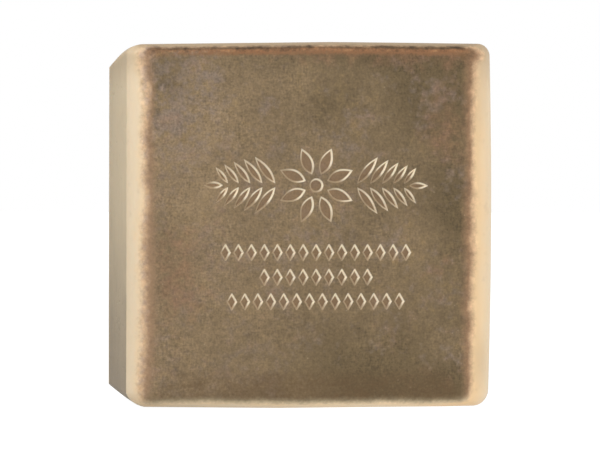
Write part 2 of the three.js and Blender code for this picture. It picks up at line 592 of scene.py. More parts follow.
def filled(loops: list[np.ndarray], inner: np.ndarray) -> list[tuple[int, int, int]]:
    """Triangles between an outer loop, the loops of holes inside it, and loose points.

    Args:
        loops: The outer loop first, then each hole's, all convex.
        inner: Loose points between them.

    Returns:
        Anticlockwise triangles, as indices into the loops and the loose points stacked in order.
    """
    stacked = np.vstack([*loops, inner])
    owner = np.full(len(stacked), -1)
    edges = []
    start = 0
    for number, loop in enumerate(loops):
        ids = np.arange(start, start + len(loop))
        edges += list(zip(ids.tolist(), np.roll(ids, -1).tolist()))
        if number > 0:
            owner[ids] = number
        start += len(loop)
    made = delaunay_2d_cdt([Vector(p) for p in stacked.tolist()], edges, [], 1, WELD_DISTANCE)
    origin = [ids[0] for ids in made[3]]
    triangles = []
    for face in made[2]:
        a, b, c = (origin[v] for v in face)
        if owner[a] >= 0 and owner[a] == owner[b] == owner[c]:
            continue
        first, second = stacked[b] - stacked[a], stacked[c] - stacked[a]
        if first[0] * second[1] - first[1] * second[0] < 0:
            b, c = c, b
        triangles.append((a, b, c))
    return triangles


def spread_points(form: BlockForm, spacing: float, loops: list[np.ndarray], seed: int) -> np.ndarray:
    """Loose points over a broad face, in jittered rows, clear of its outline and of the holes.

    Args:
        form: The block.
        spacing: How far apart they lie.
        loops: The outer loop first, then each hole's, all convex and anticlockwise.
        seed: The seed of the jitter.

    Returns:
        The points, one row of x and z each.
    """
    draw = np.random.default_rng(seed)
    rows = np.arange(spacing, form.height, spacing * math.sqrt(3) / 2)
    columns = np.arange(-form.width / 2, form.width / 2, spacing)
    grid = np.array([(x + (k % 2) * spacing / 2, z) for k, z in enumerate(rows) for x in columns])
    grid += draw.uniform(-JITTER, JITTER, grid.shape) * spacing

    def within(loop: np.ndarray, margin: float) -> np.ndarray:
        """Which points of the grid lie inside a convex loop that is grown by a margin.

        Args:
            loop: The loop, anticlockwise.
            margin: How far it is grown.

        Returns:
            One truth value for each point.
        """
        low, high = loop.min(axis=0) - margin, loop.max(axis=0) + margin
        near = np.flatnonzero(((grid > low) & (grid < high)).all(axis=1))
        side = np.roll(loop, -1, axis=0) - loop
        side /= np.linalg.norm(side, axis=1)[:, None]
        to_point = grid[near][:, None, :] - loop[None, :, :]
        inside = side[:, 0] * to_point[:, :, 1] - side[:, 1] * to_point[:, :, 0]
        found = np.zeros(len(grid), bool)
        found[near[(inside > -margin).all(axis=1)]] = True
        return found

    kept = within(loops[0], -RIM_MARGIN * spacing)
    for loop in loops[1:]:
        kept &= ~within(loop, HOLE_MARGIN * spacing)
    return grid[kept]


class Patch(NamedTuple):
    """A soft cloud on a broad face: its middle, its reach across and up in millimetres, and its amount."""

    x: float
    z: float
    across: float
    up: float
    amount: float


class Lumps(NamedTuple):
    """Soft noise: a lump's size in millimetres, its finer layers, which noise it is, and its stretch."""

    size: float
    layers: float
    seed: float
    stretch: tuple[float, float, float] = (1.0, 1.0, 1.0)


class NodeKit:
    """Adds nodes to one node tree."""

    def __init__(self, tree: bpy.types.NodeTree) -> None:
        """Starts from an empty tree."""
        self.tree = tree
        tree.nodes.clear()

    def add(self, kind: str, settings: dict[str, Any], sockets: dict[Any, Any]) -> bpy.types.Node:
        """Adds one node.

        Args:
            kind: The node's type.
            settings: Its properties, which are set first.
            sockets: Values or links for its inputs, by name or number.

        Returns:
            The node.
        """
        node = self.tree.nodes.new(kind)
        for name, setting in settings.items():
            setattr(node, name, setting)
        for key, given in sockets.items():
            if isinstance(given, Value):
                given = given.socket
            if isinstance(given, bpy.types.NodeSocket):
                self.tree.links.new(given, node.inputs[key])
            else:
                node.inputs[key].default_value = given
        return node

    def vector(self, operation: str, sockets: dict[Any, Any]) -> Socket:
        """The result of a Vector Math node."""
        return self.add("ShaderNodeVectorMath", {"operation": operation}, sockets).outputs["Vector"]

    def along(self, place: Socket, axis: int) -> "Value":
        """One coordinate: 0 for X, 1 for Y, 2 for Z."""
        return Value(self, self.add("ShaderNodeSeparateXYZ", {}, {0: place}).outputs[axis])

    def mixed(self, first: Any, second: Any, share: "Value") -> Socket:
        """A colour that goes from the first to the second with the share."""
        return self.add("ShaderNodeMix", {"data_type": "RGBA"}, {0: share, 6: first, 7: second}).outputs[2]

    def scaled(self, tone: Socket, share: "Value") -> Socket:
        """A colour made brighter or darker."""
        return self.vector("SCALE", {0: tone, "Scale": share})


class Value:
    """A number that varies over a surface, with the arithmetic that the finishes use."""

    def __init__(self, kit: NodeKit, socket: Socket) -> None:
        """Wraps an output socket."""
        self.kit = kit
        self.socket = socket

    def _maths(self, operation: str, first: "Term", second: "Term") -> "Value":
        """Adds a Math node on two terms."""
        node = self.kit.add("ShaderNodeMath", {"operation": operation}, {0: first, 1: second})
        return Value(self.kit, node.outputs[0])

    def __add__(self, other: "Term") -> "Value":
        """The sum."""
        return self._maths("ADD", self, other)

    __radd__ = __add__

    def __sub__(self, other: "Term") -> "Value":
        """This less the other."""
        return self._maths("SUBTRACT", self, other)

    def __rsub__(self, other: "Term") -> "Value":
        """The other less this."""
        return self._maths("SUBTRACT", other, self)

    def __mul__(self, other: "Term") -> "Value":
        """The product."""
        return self._maths("MULTIPLY", self, other)

    __rmul__ = __mul__

    def step(self, low: float, high: float) -> "Value":
        """Goes smoothly from 0 at low to 1 at high, which may be below low.

        Args:
            low: Where it is 0.
            high: Where it is 1.

        Returns:
            The share.
        """
        ends = {1: low, 2: high, 3: 0.0, 4: 1.0} if low <= high else {1: high, 2: low, 3: 1.0, 4: 0.0}
        node = self.kit.add("ShaderNodeMapRange", {"interpolation_type": "SMOOTHSTEP"}, {0: self, **ends})
        return Value(self.kit, node.outputs[0])

    def hump(self, start: float, rise: float, fall: float, end: float) -> "Value":
        """Rises from start to rise, stays at 1 and falls from fall to end."""
        return self.step(start, rise) * self.step(end, fall)


Term = Value | float


class SurfaceKit(NodeKit):
    """Adds nodes to the block's material, and knows each point's place and what the mesh carries there."""

    def __init__(self, tree: bpy.types.NodeTree) -> None:
        """Starts with the place in millimetres and the carried values.

        Args:
            tree: The material's node tree.
        """
        super().__init__(tree)
        own = self.add("ShaderNodeTexCoord", {}, {}).outputs["Object"]
        self.place = self.vector("MULTIPLY", {0: own, 1: (1.0 / MM, 1.0 / MM, 1.0 / MM)})
        self.x, self.y, self.z = (self.along(self.place, axis) for axis in range(3))
        self.past_edge = self.carried("past_edge")
        self.top_edge = self.carried("top_edge")
        self.foot_edge = self.carried("foot_edge")
        self.rightmost = self.x.step(20.0, 40.0)

    def carried(self, name: str) -> Value:
        """A value that the mesh carries."""
        return Value(self, self.add("ShaderNodeAttribute", {"attribute_name": name}, {}).outputs["Fac"])

    def noise(self, lumps: Lumps) -> Value:
        """Soft noise, a value round 0 that lies mostly within -0.5 to 0.5.

        Args:
            lumps: The noise's measures.

        Returns:
            The value.
        """
        stretched = self.vector("MULTIPLY", {0: self.place, 1: lumps.stretch})
        sockets = {"Vector": stretched, "W": lumps.seed, "Scale": 1.0 / lumps.size, "Detail": lumps.layers}
        node = self.add("ShaderNodeTexNoise", {"noise_dimensions": "4D"}, {**sockets, "Roughness": 0.55})
        return Value(self, node.outputs["Fac"]) - 0.5

    def patches(self, patches: tuple[Patch, ...]) -> Value:
        """The sum of soft clouds on the broad faces.

        Args:
            patches: The clouds.

        Returns:
            A value that is each cloud's amount at its middle and 0 away from all of them.
        """
        clouds = []
        for patch in patches:
            away = self.vector("SUBTRACT", {0: self.place, 1: (patch.x, 0.0, patch.z)})
            shares = self.vector("MULTIPLY", {0: away, 1: (1.0 / patch.across, 0.0, 1.0 / patch.up)})
            reach = self.add("ShaderNodeVectorMath", {"operation": "LENGTH"}, {0: shares}).outputs["Value"]
            clouds.append(Value(self, reach).step(1.3, 0.0) * patch.amount)
        return sum(clouds[1:], clouds[0])


def colour(red: int, green: int, blue: int) -> Colour:
    """A display colour from 0 to 255 as the linear one that shaders use.

    Args:
        red: Its red.
        green: Its green.
        blue: Its blue.

    Returns:
        The linear colour, opaque.
    """

    def linear(level: int) -> float:
        """One channel."""
        share = level / 255.0
        return share / 12.92 if share <= 0.04045 else ((share + 0.055) / 1.055) ** 2.4

    return (linear(red), linear(green), linear(blue), 1.0)


@dataclass(frozen=True)
class CheddarFinish:
    """The cheese's surface: brown rind, rubbed pale edges, cut sides and the pressed shapes."""

    olive: Colour = colour(104, 87, 59)
    umber: Colour = colour(143, 121, 91)
    ochre: Colour = colour(142, 118, 78)
    mauve: Colour = colour(135, 119, 106)
    russet: Colour = colour(138, 103, 76)
    fleck: Colour = colour(176, 156, 128)
    cream: Colour = colour(236, 215, 183)
    butter: Colour = colour(238, 211, 172)
    amber: Colour = colour(237, 204, 158)
    tan: Colour = colour(212, 177, 139)
    blush: Colour = colour(190, 162, 138)
    foot_tan: Colour = colour(196, 176, 144)
    halo: Colour = colour(162, 130, 100)
    ruddy: Colour = colour(156, 121, 90)
    foot_halo: Colour = colour(140, 124, 96)
    band: Colour = colour(146, 104, 70)
    dark_tan: Colour = colour(180, 156, 124)
    crust: Colour = colour(92, 73, 52)
    foot_crust_and_shade: Colour = colour(98, 76, 48)
    # The cut sides: a colour a little darker than the cream, partly painted shade, and a painted shaded
    # colour for their foot.
    side: Colour = colour(227, 207, 173)
    side_foot_shade: Colour = colour(160, 144, 122)
    pressed: Colour = colour(146, 116, 88)
    # The pale walls of the pressed shapes, as a painted lit copy and a painted shaded copy.
    lit_wall: Colour = colour(255, 240, 212)
    shaded: Colour = colour(200, 176, 144)
    cloud: Lumps = Lumps(20, 3, 5)
    patch: Lumps = Lumps(9, 4, 6)
    blotch: Lumps = Lumps(3, 4, 8)
    golden: Lumps = Lumps(2.4, 3, 17)
    mottle: Lumps = Lumps(1.5, 3, 12)
    grain: Lumps = Lumps(0.48, 3, 7)
    fine_dapple: Lumps = Lumps(2, 3, 23)
    wide_dapple: Lumps = Lumps(5, 2, 24)
    thread_up: Lumps = Lumps(1, 1, 1, stretch=(2.1, 0.4, 0.7))
    thread_across: Lumps = Lumps(1, 1, 2, stretch=(0.7, 0.4, 2.1))
    cloth_share: Lumps = Lumps(11, 1, 13)
    relief: Lumps = Lumps(0.9, 3, 11)
    wander: Lumps = Lumps(9, 2, 3)
    fray: Lumps = Lumps(0.8, 3, 4)
    nicks: Lumps = Lumps(2.2, 3, 16)
    rubbing: Lumps = Lumps(1.6, 4, 14)
    breaks: Lumps = Lumps(2, 5, 15, stretch=(0.5, 1.0, 1.0))
    speckle: Lumps = Lumps(0.6, 3, 18)
    fine_specks: Lumps = Lumps(0.9, 3, 22)
    wide_specks: Lumps = Lumps(2.8, 2, 25)
    curd: Lumps = Lumps(6, 3, 9)
    smudge: Lumps = Lumps(2.6, 3, 19)
    cutting: Lumps = Lumps(1, 3, 20, stretch=(0.9, 0.9, 0.06))
    seam_share: Lumps = Lumps(8, 2, 21)
    pale_patches: tuple[Patch, ...] = (
        Patch(-27, 71, 12, 9, 0.45),
        Patch(-30, 57, 10, 14, 0.35),
        Patch(-24, 35, 9, 9, 0.3),
        Patch(30, 27, 9, 9, 0.25),
        Patch(22, 40, 14, 10, 0.25),
        Patch(16, 72, 8, 8, 0.25),
        Patch(-22, 7, 13, 5, 0.35),
        Patch(34, 14, 8, 5, 0.35),
    )
    # Darker clouds on the rind: partly its own tone and partly painted shade on the right side.
    dark_and_shade_patches: tuple[Patch, ...] = (
        Patch(14, 6.5, 24, 9, 0.6),
        Patch(4, 15, 20, 9, 0.4),
        Patch(36, 6, 9, 6, 0.35),
        Patch(34, 50, 8, 14, 0.45),
        Patch(27, 74, 24, 12, 0.68),
        Patch(-38, 77, 7, 12, 0.8),
        Patch(-33, 79, 8, 8, 0.3),
        Patch(5, 74, 8, 8, 0.4),
        Patch(-34, 40, 7, 8, 0.25),
        Patch(37, 80, 8, 10, 0.4),
        Patch(22, 17, 7, 7, 0.25),
        Patch(37, 45, 6, 9, 0.35),
        Patch(31, 34, 6, 7, 0.2),
        Patch(2, 85, 46, 6, 0.4),
        Patch(22, 86, 26, 6, 0.5),
        Patch(-4, 70, 14, 7, 0.2),
    )
    russet_patches: tuple[Patch, ...] = (
        Patch(30, 64, 8, 8, 0.25),
        Patch(-33, 32, 9, 15, 0.5),
        Patch(33, 70, 9, 12, 0.3),
        Patch(12, 85, 40, 5, 0.6),
        Patch(30, 33, 8, 6, 0.2),
    )
    dusty_patches: tuple[Patch, ...] = (
        Patch(-30, 77, 14, 13, 0.22),
        Patch(-31, 62, 8, 12, 0.14),
        Patch(22, 3, 26, 8, -0.8),
        Patch(22, 18, 8, 8, -0.25),
        Patch(36, 66, 8, 10, -0.2),
        Patch(37, 82, 8, 8, -0.2),
        Patch(37, 44, 7, 9, -0.15),
    )
    worn_patches: tuple[Patch, ...] = (
        Patch(-42, 75, 8, 9, 0.8),
        Patch(-42, 50, 8, 5, 0.4),
    )
    soiled_corners: tuple[Patch, ...] = (
        Patch(41.4, 85, 4.2, 2.6, 2.2),
        Patch(-39, 86, 3, 2, 0.4),
    )
    smudged_edges: tuple[Patch, ...] = (
        Patch(40.4, 75, 2.8, 12, 0.2),
        Patch(40.7, 11, 2.6, 8, 0.3),
    )
    line_shifts: tuple[Patch, ...] = (
        Patch(-42, 83, 6, 6, 1),
        Patch(-42, 74, 5, 6, 0.4),
        Patch(-42, 3, 6, 9, 0.8),
        Patch(43, 80.5, 6, 6.5, 1),
        Patch(43, 63, 6, 14, -1),
        Patch(43, 42, 6, 9, 0.45),
        Patch(43, 7, 6, 15, -1),
        Patch(27, 1, 16, 4, 0.2),
    )

    def material(self) -> bpy.types.Material:
        """The one material of the block.

        Returns:
            The material.
        """
        made = bpy.data.materials.new("cheddar_surface")
        made.use_nodes = True
        kit = SurfaceKit(made.node_tree)
        weave = self._weave(kit)
        past_line = self._ragged_line(kit)
        steep = past_line * (1.0 + kit.top_edge * 2.2 + kit.foot_edge + kit.x.step(25.0, 40.0) * 0.25)
        rind = kit.mixed(self._rind(kit, weave), self.pressed, kit.carried("press_floor") * 0.45)
        knit = self._knit(kit)
        surface = self._edge(kit, self._paste(kit, steep, knit), rind, steep)
        surface = self._crust(kit, surface, past_line)
        surface = self._walls(kit, self._specked(kit, surface, steep))
        covered = steep.step(-0.8, 0.8)
        grain = kit.noise(self.relief)
        height = covered * (weave * 0.5 + grain * 0.5) + (1.0 - covered) * (grain * 0.2 - knit * 0.5)
        bump = kit.add("ShaderNodeBump", {}, {"Strength": 1.0, "Distance": 0.2 * MM, "Height": height})
        shader_sockets = {
            "Base Color": surface,
            "Roughness": 0.52 + covered * 0.14 + grain * 0.15,
            "Specular IOR Level": 0.35,
            "Subsurface Weight": 0.08,
            "Subsurface Scale": 0.8 * MM,
            "Subsurface Radius": (1.0, 0.6, 0.35),
            "Normal": bump.outputs[0],
        }
        shader = kit.add("ShaderNodeBsdfPrincipled", {}, shader_sockets)
        kit.add("ShaderNodeOutputMaterial", {}, {"Surface": shader.outputs[0]})
        return made

    def _weave(self, kit: SurfaceKit) -> Value:
        """The faint print of the cloth that the cheese was wrapped in, clear in some places only."""
        clear = kit.noise(self.cloth_share).step(-0.15, 0.2)
        return (kit.noise(self.thread_up) + kit.noise(self.thread_across) * 0.9) * (0.35 + clear * 0.65)

    def _ragged_line(self, kit: SurfaceKit) -> Value:
        """How far past the rubbed edge a point lies, in millimetres, with the line broken up by noise.


        Returns:
            The distance, which is below 0 on the bare cheese.
        """
        evenness = kit.top_edge * 0.75 + kit.foot_edge * 0.55
        fray = kit.noise(self.fray)
        wander = kit.noise(self.wander) * 2.4 + fray * (1.9 - kit.rightmost)
        worn = kit.patches(self.worn_patches) * (0.9 + fray * 3.0 + kit.noise(self.nicks) * 3.0)
        shift = kit.patches(self.line_shifts) * (1.0 - kit.top_edge)
        darkened = kit.patches(self.soiled_corners) * kit.y.step(0.0, -5.0)
        return kit.past_edge + wander * (1.0 - evenness) - worn + shift + darkened

    def _rind(self, kit: SurfaceKit, weave: Value) -> Socket:
        """The rind: olive and umber, clouded with ochre, mauve and russet, with pale flecks, and with painted
        light towards the upper left and painted shade towards the right.

        Args:
            weave: The print of the cloth.

        Returns:
            The rind's colour.
        """
        cloud, patch, blotch = kit.noise(self.cloud), kit.noise(self.patch), kit.noise(self.blotch)
        golden, mottle = kit.noise(self.golden), kit.noise(self.mottle)
        varied = 1.0 - kit.z.step(72.0, 50.0) * kit.x.step(24.0, 0.0)
        # Painted light and shade: the rind is lighter towards the top and the left and darker towards the
        # right, besides its clouds.
        pale = 0.42 + kit.z * 0.003 - kit.x * 0.0105 + cloud * 0.8 + blotch * 0.35
        pale = pale + kit.patches(self.pale_patches) - kit.patches(self.dark_and_shade_patches)
        tone = kit.mixed(self.olive, self.umber, pale.step(-0.5, 1.3))
        gilded = (golden * 2.0 + cloud).step(0.0, 0.7) * pale.step(-0.5, 0.6)
        tone = kit.mixed(tone, self.ochre, gilded * (0.30 + varied * 0.40))
        dusty = mottle * 1.3 + patch * 1.6 - golden + kit.patches(self.dusty_patches)
        tone = kit.mixed(tone, self.mauve, dusty.step(-0.05, 0.6) * (0.52 + varied * 0.23))
        reddened = patch * 1.2 + blotch * 1.2 + mottle * 0.8 + kit.patches(self.russet_patches)
        tone = kit.mixed(tone, self.russet, reddened.step(0.05, 0.9) * 0.75)
        light = 1.0 + weave * 0.8 + kit.noise(self.grain) * 1.2 + mottle * 0.15 + cloud * 0.3
        light = light + blotch * (0.35 - kit.x.step(10.0, 30.0) * 0.25)
        dapple = kit.noise(self.fine_dapple) + kit.noise(self.wide_dapple)
        tone = kit.scaled(tone, light + dapple * kit.x.step(10.0, -25.0) * 0.3)
        spots = kit.add("ShaderNodeTexVoronoi", {}, {"Vector": kit.place, "Scale": 0.5})
        fleck = Value(kit, spots.outputs["Distance"]).step(0.15, 0.03) * blotch.step(0.0, 0.12)
        return kit.mixed(tone, self.fleck, fleck * 0.4)

    def _edge(self, kit: SurfaceKit, paste: Socket, rind: Socket, steep: Value) -> Socket:
        """The soft change from the bare cheese over tan to the rind.

        Args:
            paste: The bare cheese's colour.
            rind: The rind's colour.
            steep: How far past the ragged line a point lies, weighted by the side's steepness.

        Returns:
            The colour of the whole surface, without its crust.
        """
        mottled = kit.noise(self.rubbing).step(-0.1, 0.16) * kit.x.step(20.0, -10.0)
        rubbed = kit.mixed(self.tan, self.blush, mottled)
        rubbed = kit.mixed(rubbed, self.foot_tan, kit.foot_edge)
        halo = kit.mixed(self.halo, self.ruddy, kit.rightmost)
        halo = kit.mixed(halo, self.foot_halo, kit.foot_edge)
        halo = kit.mixed(halo, self.band, kit.top_edge)
        tone = kit.mixed(paste, rubbed, steep.step(-2.0, -0.3))
        tone = kit.mixed(tone, halo, steep.step(-0.9, 1.0))
        covered = (steep * (1.0 + kit.patches(self.worn_patches))).step(0.0, 3.2)
        return kit.mixed(tone, rind, covered + (steep.step(-0.4, 3.8) - covered) * kit.rightmost)

    def _crust(self, kit: SurfaceKit, surface: Socket, past_line: Value) -> Socket:
        """The surface with the reddish band and dark line along the top, and the dark band at the foot, which
        is partly crust and partly painted shade.

        Args:
            surface: The colour so far.
            past_line: How far past the ragged line a point lies.

        Returns:
            The colour with the crust.
        """
        breaks, speckle = kit.noise(self.breaks), kit.noise(self.speckle)
        red_share = 0.45 + kit.x.step(-36.0, -14.0) * 0.4 + breaks * 1.4 + speckle * 1.6
        reddish = (past_line + breaks * 1.6 + speckle).hump(0.0, 0.4, 1.3, 2.2)
        surface = kit.mixed(surface, self.band, reddish * kit.top_edge * red_share)
        line = past_line.hump(-0.8, 0.0, 0.1, 0.65) * (0.85 + breaks * 2.0)
        shadow = (past_line + speckle * 3.0).hump(1.4, 1.9, 2.2, 3.4) * (breaks + speckle).step(-0.05, 0.3)
        surface = kit.mixed(surface, self.crust, (line + shadow * 0.5) * kit.top_edge)
        # The dark band at the foot: crust with painted shade, weaker towards the left.
        shaded = 0.55 + breaks * 1.2 + speckle * 1.3 - kit.x.step(-10.0, -32.0) * 0.2
        foot = past_line.hump(0.2, 1.2, 4.0, 9.0) * kit.foot_edge
        return kit.mixed(surface, self.foot_crust_and_shade, foot * shaded)

    def _specked(self, kit: SurfaceKit, surface: Socket, steep: Value) -> Socket:
        """The surface with light and dark specks along the line up to which the rind is rubbed off.

        Args:
            surface: The colour so far.
            steep: How far past the ragged line a point lies, weighted.

        Returns:
            The colour with the specks.
        """
        specks = kit.noise(self.fine_specks) + kit.noise(self.wide_specks) * 0.8
        smooth = kit.x.step(0.0, -30.0) * kit.z.step(70.0, 50.0)
        share = 1.1 + kit.top_edge * 1.2 - kit.foot_edge * 0.5 - smooth * 0.6
        return kit.scaled(surface, 1.0 + specks * steep.hump(-2.6, -0.6, 2.5, 4.0) * share)

    def _paste(self, kit: SurfaceKit, steep: Value, knit: Value) -> Socket:
        """The bare cheese: cream, warmer towards the rind, darker tan along the top edge; on the cut sides a
        little darker than the cream, with painted shade towards the foot and towards the back.

        Args:
            steep: How far past the ragged line a point lies, weighted.
            knit: The seams on the cut sides.

        Returns:
            The bare cheese's colour.
        """
        curd = kit.noise(self.curd)
        # Painted shade: the cut sides darken towards the foot.
        side = kit.mixed(self.side, self.side_foot_shade, (kit.z + curd * 12.0).step(58.0, -8.0))
        # Painted shade: the cut sides darken towards the back.
        side = kit.scaled(side, 0.985 - kit.y * 0.003)
        tone = kit.mixed(side, self.cream, kit.past_edge.step(-6.6, -5.6))
        tone = kit.mixed(tone, self.butter, (steep + curd * 3.0).step(-3.2, -1.2))
        tone = kit.mixed(tone, self.amber, (kit.past_edge + curd * 3.0).step(-6.5, -0.8) * kit.rightmost)
        smudge = kit.noise(self.smudge).step(0.05, 0.3) * kit.past_edge.step(-5.8, -4.5) * 0.22
        # Darker tan along the top edge and towards the top of the cut sides, in small smudges near the rind,
        # and at two places on the right edge.
        darkened = kit.top_edge * 0.95 + (kit.z + curd * 6.0).step(75.0, 87.0) * 0.6 + smudge
        tone = kit.mixed(tone, self.dark_tan, darkened + kit.patches(self.smudged_edges))
        return kit.scaled(tone, 1.0 + curd * 0.08 + kit.noise(self.cutting) * 0.07 - knit * 0.07)

    def _knit(self, kit: SurfaceKit) -> Value:
        """The faint seams between the pressed curds on the cut sides, 0 to 1.


        Returns:
            1 on a seam and 0 off them.
        """
        bend_sockets = {"Vector": kit.place, "Scale": 0.25, "Detail": 2.0}
        bend = kit.add("ShaderNodeTexNoise", {}, bend_sockets).outputs["Color"]
        bent = kit.vector("ADD", {0: kit.place, 1: kit.vector("MULTIPLY", {0: bend, 1: (5.0, 5.0, 5.0)})})
        settings = {"feature": "DISTANCE_TO_EDGE"}
        curds = kit.add("ShaderNodeTexVoronoi", settings, {"Vector": bent, "Scale": 0.14})
        seams = Value(kit, curds.outputs["Distance"]).step(0.07, 0.0)
        return seams * kit.noise(self.seam_share).step(-0.1, 0.2) * kit.past_edge.step(-6.0, -6.9)

    def _walls(self, kit: SurfaceKit, surface: Socket) -> Socket:
        """The surface with the walls of the pressed shapes, where pale cheese shows through, painted lighter
        and wider on one side of each shape and with painted shade on the other.

        Args:
            surface: The colour so far.

        Returns:
            The finished colour.
        """
        # Painted light and shade on the walls: the lit share picks the lit or the shaded wall colour by which
        # way the wall faces, and widens the lit walls.
        lit_share = kit.carried("press_lit_share")
        rubbed = kit.mixed(self.shaded, self.lit_wall, lit_share.step(0.1, 0.8))
        return kit.mixed(surface, rubbed, kit.carried("press_wall") * (0.55 + lit_share * 0.45))


@dataclass(frozen=True)
class CheddarBlock:
    """The block itself. Lengths are in millimetres."""

    form: BlockForm
    pressing: Pressing = Pressing()
    finish: CheddarFinish = CheddarFinish()
    front_cream: Sides = Sides(left=4.5, right=5.75, top=1.28, bottom=1.85)
    back_cream: Sides = Sides(left=2.3, right=2.5, top=1.9, bottom=1.8)
    edge_softness: float = 0.9
    bare: float = -7.0
    front_spacing: float = 0.8
    back_spacing: float = 1.5
    # Which way an outline faces where its walls take painted light; the opposite side takes painted shade.
    lit_outline_direction: tuple[float, float] = (0.75, 0.66)
    swell_size: float = 16.0
    swell_depth: float = 0.14
    dimple_size: float = 2.6
    dimple_depth: float = 0.035
    calm_foot: tuple[float, float] = (0.2, 3.0)
    calm_edge: tuple[float, float] = (3.0, 14.0)
    calm_share: float = 0.35
    seed: int = 7

    def build(self) -> bpy.types.Object:
        """Builds and dresses the block.

        Returns:
            The finished object.
        """
        edges = ("past_edge", "top_edge", "foot_edge")
        parts = ClosedMesh((*edges, "press_wall", "press_floor", "press_lit_share", "flat"))
        crease = self._add_sides_and_faces(parts)
        mesh = bpy.data.meshes.new("cheddar")
        mesh.from_pydata((parts.all_points() * MM).tolist(), [], parts.faces)
        mesh.update()
        self._soften(mesh, parts)
        self._carry_values(mesh, parts)
        self._mark_crease(mesh, crease)
        mesh.materials.append(self.finish.material())
        block = linked("cheddar", mesh)
        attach(block, BODY)
        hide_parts(NODE)
        return block

    def edge_values(self, outline: np.ndarray, cream: Sides) -> dict[str, np.ndarray]:
        """Where points of a broad face lie against the line up to which the rind is rubbed off.

        Args:
            outline: The points, one row of x and z each.
            cream: How far the bare cheese reaches in from each side.

        Returns:
            The distance past that line, and how much the top and the bottom side are the nearest ones.
        """
        past = self.form.inside_edges(outline[:, 0], outline[:, 1]) - np.array(cream)
        weight = np.exp(-(past - past.min(axis=1, keepdims=True)) / self.edge_softness)
        total = weight.sum(axis=1)
        nearest = past.min(axis=1) - self.edge_softness * np.log(total)
        return {"past_edge": nearest, "top_edge": weight[:, 2] / total, "foot_edge": weight[:, 3] / total}

    def _add_sides_and_faces(self, parts: ClosedMesh) -> np.ndarray:
        """Adds all points and faces of the block.

        Args:
            parts: The mesh to add to.

        Returns:
            The points of the crease between the front edge and the narrow sides.
        """
        rings = []
        crease = None
        for zone, station in self.form.stations():
            outline = self.form.ring(station)
            points = at_depth(outline, self.form.front_plane + station.depth)
            if zone is Zone.FRONT:
                ids = parts.add_points(points, **self.edge_values(outline, self.front_cream))
            elif zone is Zone.BACK:
                ids = parts.add_points(points, **self.edge_values(outline, self.back_cream))
            else:
                ids = parts.add_points(points, past_edge=self.bare)
                crease = ids if crease is None else crease
            rings.append((ids, outline))
        for (ids, _), (behind, _) in zip(rings, rings[1:]):
            parts.add_band(behind, ids)
        self._add_front_face(parts, *rings[0])
        self._add_back_face(parts, *rings[-1])
        return crease

    def _add_front_face(self, parts: ClosedMesh, rim: np.ndarray, outline: np.ndarray) -> None:
        """Adds the front face and its pressed shapes inside its rim.

        Args:
            parts: The mesh to add to.
            rim: The indices of the rim's points.
            outline: Those points' x and z.
        """
        motifs = self.pressing.motifs()
        outermost, *deeper = self.pressing.loops()
        holes = [motif.loop(outermost.offset) for motif in motifs]
        loose = spread_points(self.form, self.front_spacing, [outline, *holes], self.seed)
        ids = [rim]
        for motif, hole in zip(motifs, holes):
            chain = [self._add_loop(parts, hole, outermost)]
            for loop in deeper:
                chain.append(self._add_loop(parts, motif.loop(loop.offset), loop))
                parts.add_band(chain[-2], chain[-1])
            middle = motif.loop(deeper[-1].offset).mean(axis=0, keepdims=True)
            centre = self._add_loop(parts, middle, deeper[-1])[0]
            parts.faces += [(a, b, centre) for a, b in zip(chain[-1], np.roll(chain[-1], -1))]
            ids.append(chain[0])
        ids.append(self._add_loop(parts, loose, outermost))
        lookup = np.concatenate(ids)
        parts.faces += [tuple(lookup[list(face)]) for face in filled([outline, *holes], loose)]

    def _add_loop(self, parts: ClosedMesh, outline: np.ndarray, loop: PressLoop) -> np.ndarray:
        """Adds points of the front face at one depth of the pressing.

        Args:
            parts: The mesh to add to.
            outline: The points, one row of x and z each.
            loop: The loop that they belong to.

        Returns:
            Their indices.
        """
        points = at_depth(outline, self.form.front_plane + loop.depth)
        # The share of painted light on each wall, from which way its outline faces.
        outward = outline - outline.mean(axis=0)
        length = np.maximum(np.linalg.norm(outward, axis=1), 1e-9)
        lit_share = 0.5 + 0.5 * (outward @ np.array(self.lit_outline_direction)) / length
        values = self.edge_values(outline, self.front_cream)
        values |= {"press_wall": loop.wall, "press_floor": loop.floor, "press_lit_share": lit_share}
        return parts.add_points(points, flat=1, **values)

    def _add_back_face(self, parts: ClosedMesh, rim: np.ndarray, outline: np.ndarray) -> None:
        """Adds the plain back face inside its rim.

        Args:
            parts: The mesh to add to.
            rim: The indices of the rim's points.
            outline: Those points' x and z.
        """
        loose = spread_points(self.form, self.back_spacing, [outline], self.seed + 1)
        points = at_depth(loose, self.form.depth / 2)
        ids = parts.add_points(points, flat=-1, **self.edge_values(loose, self.back_cream))
        lookup = np.concatenate([rim, ids])
        parts.faces += [tuple(lookup[[a, c, b]]) for a, b, c in filled([outline], loose)]

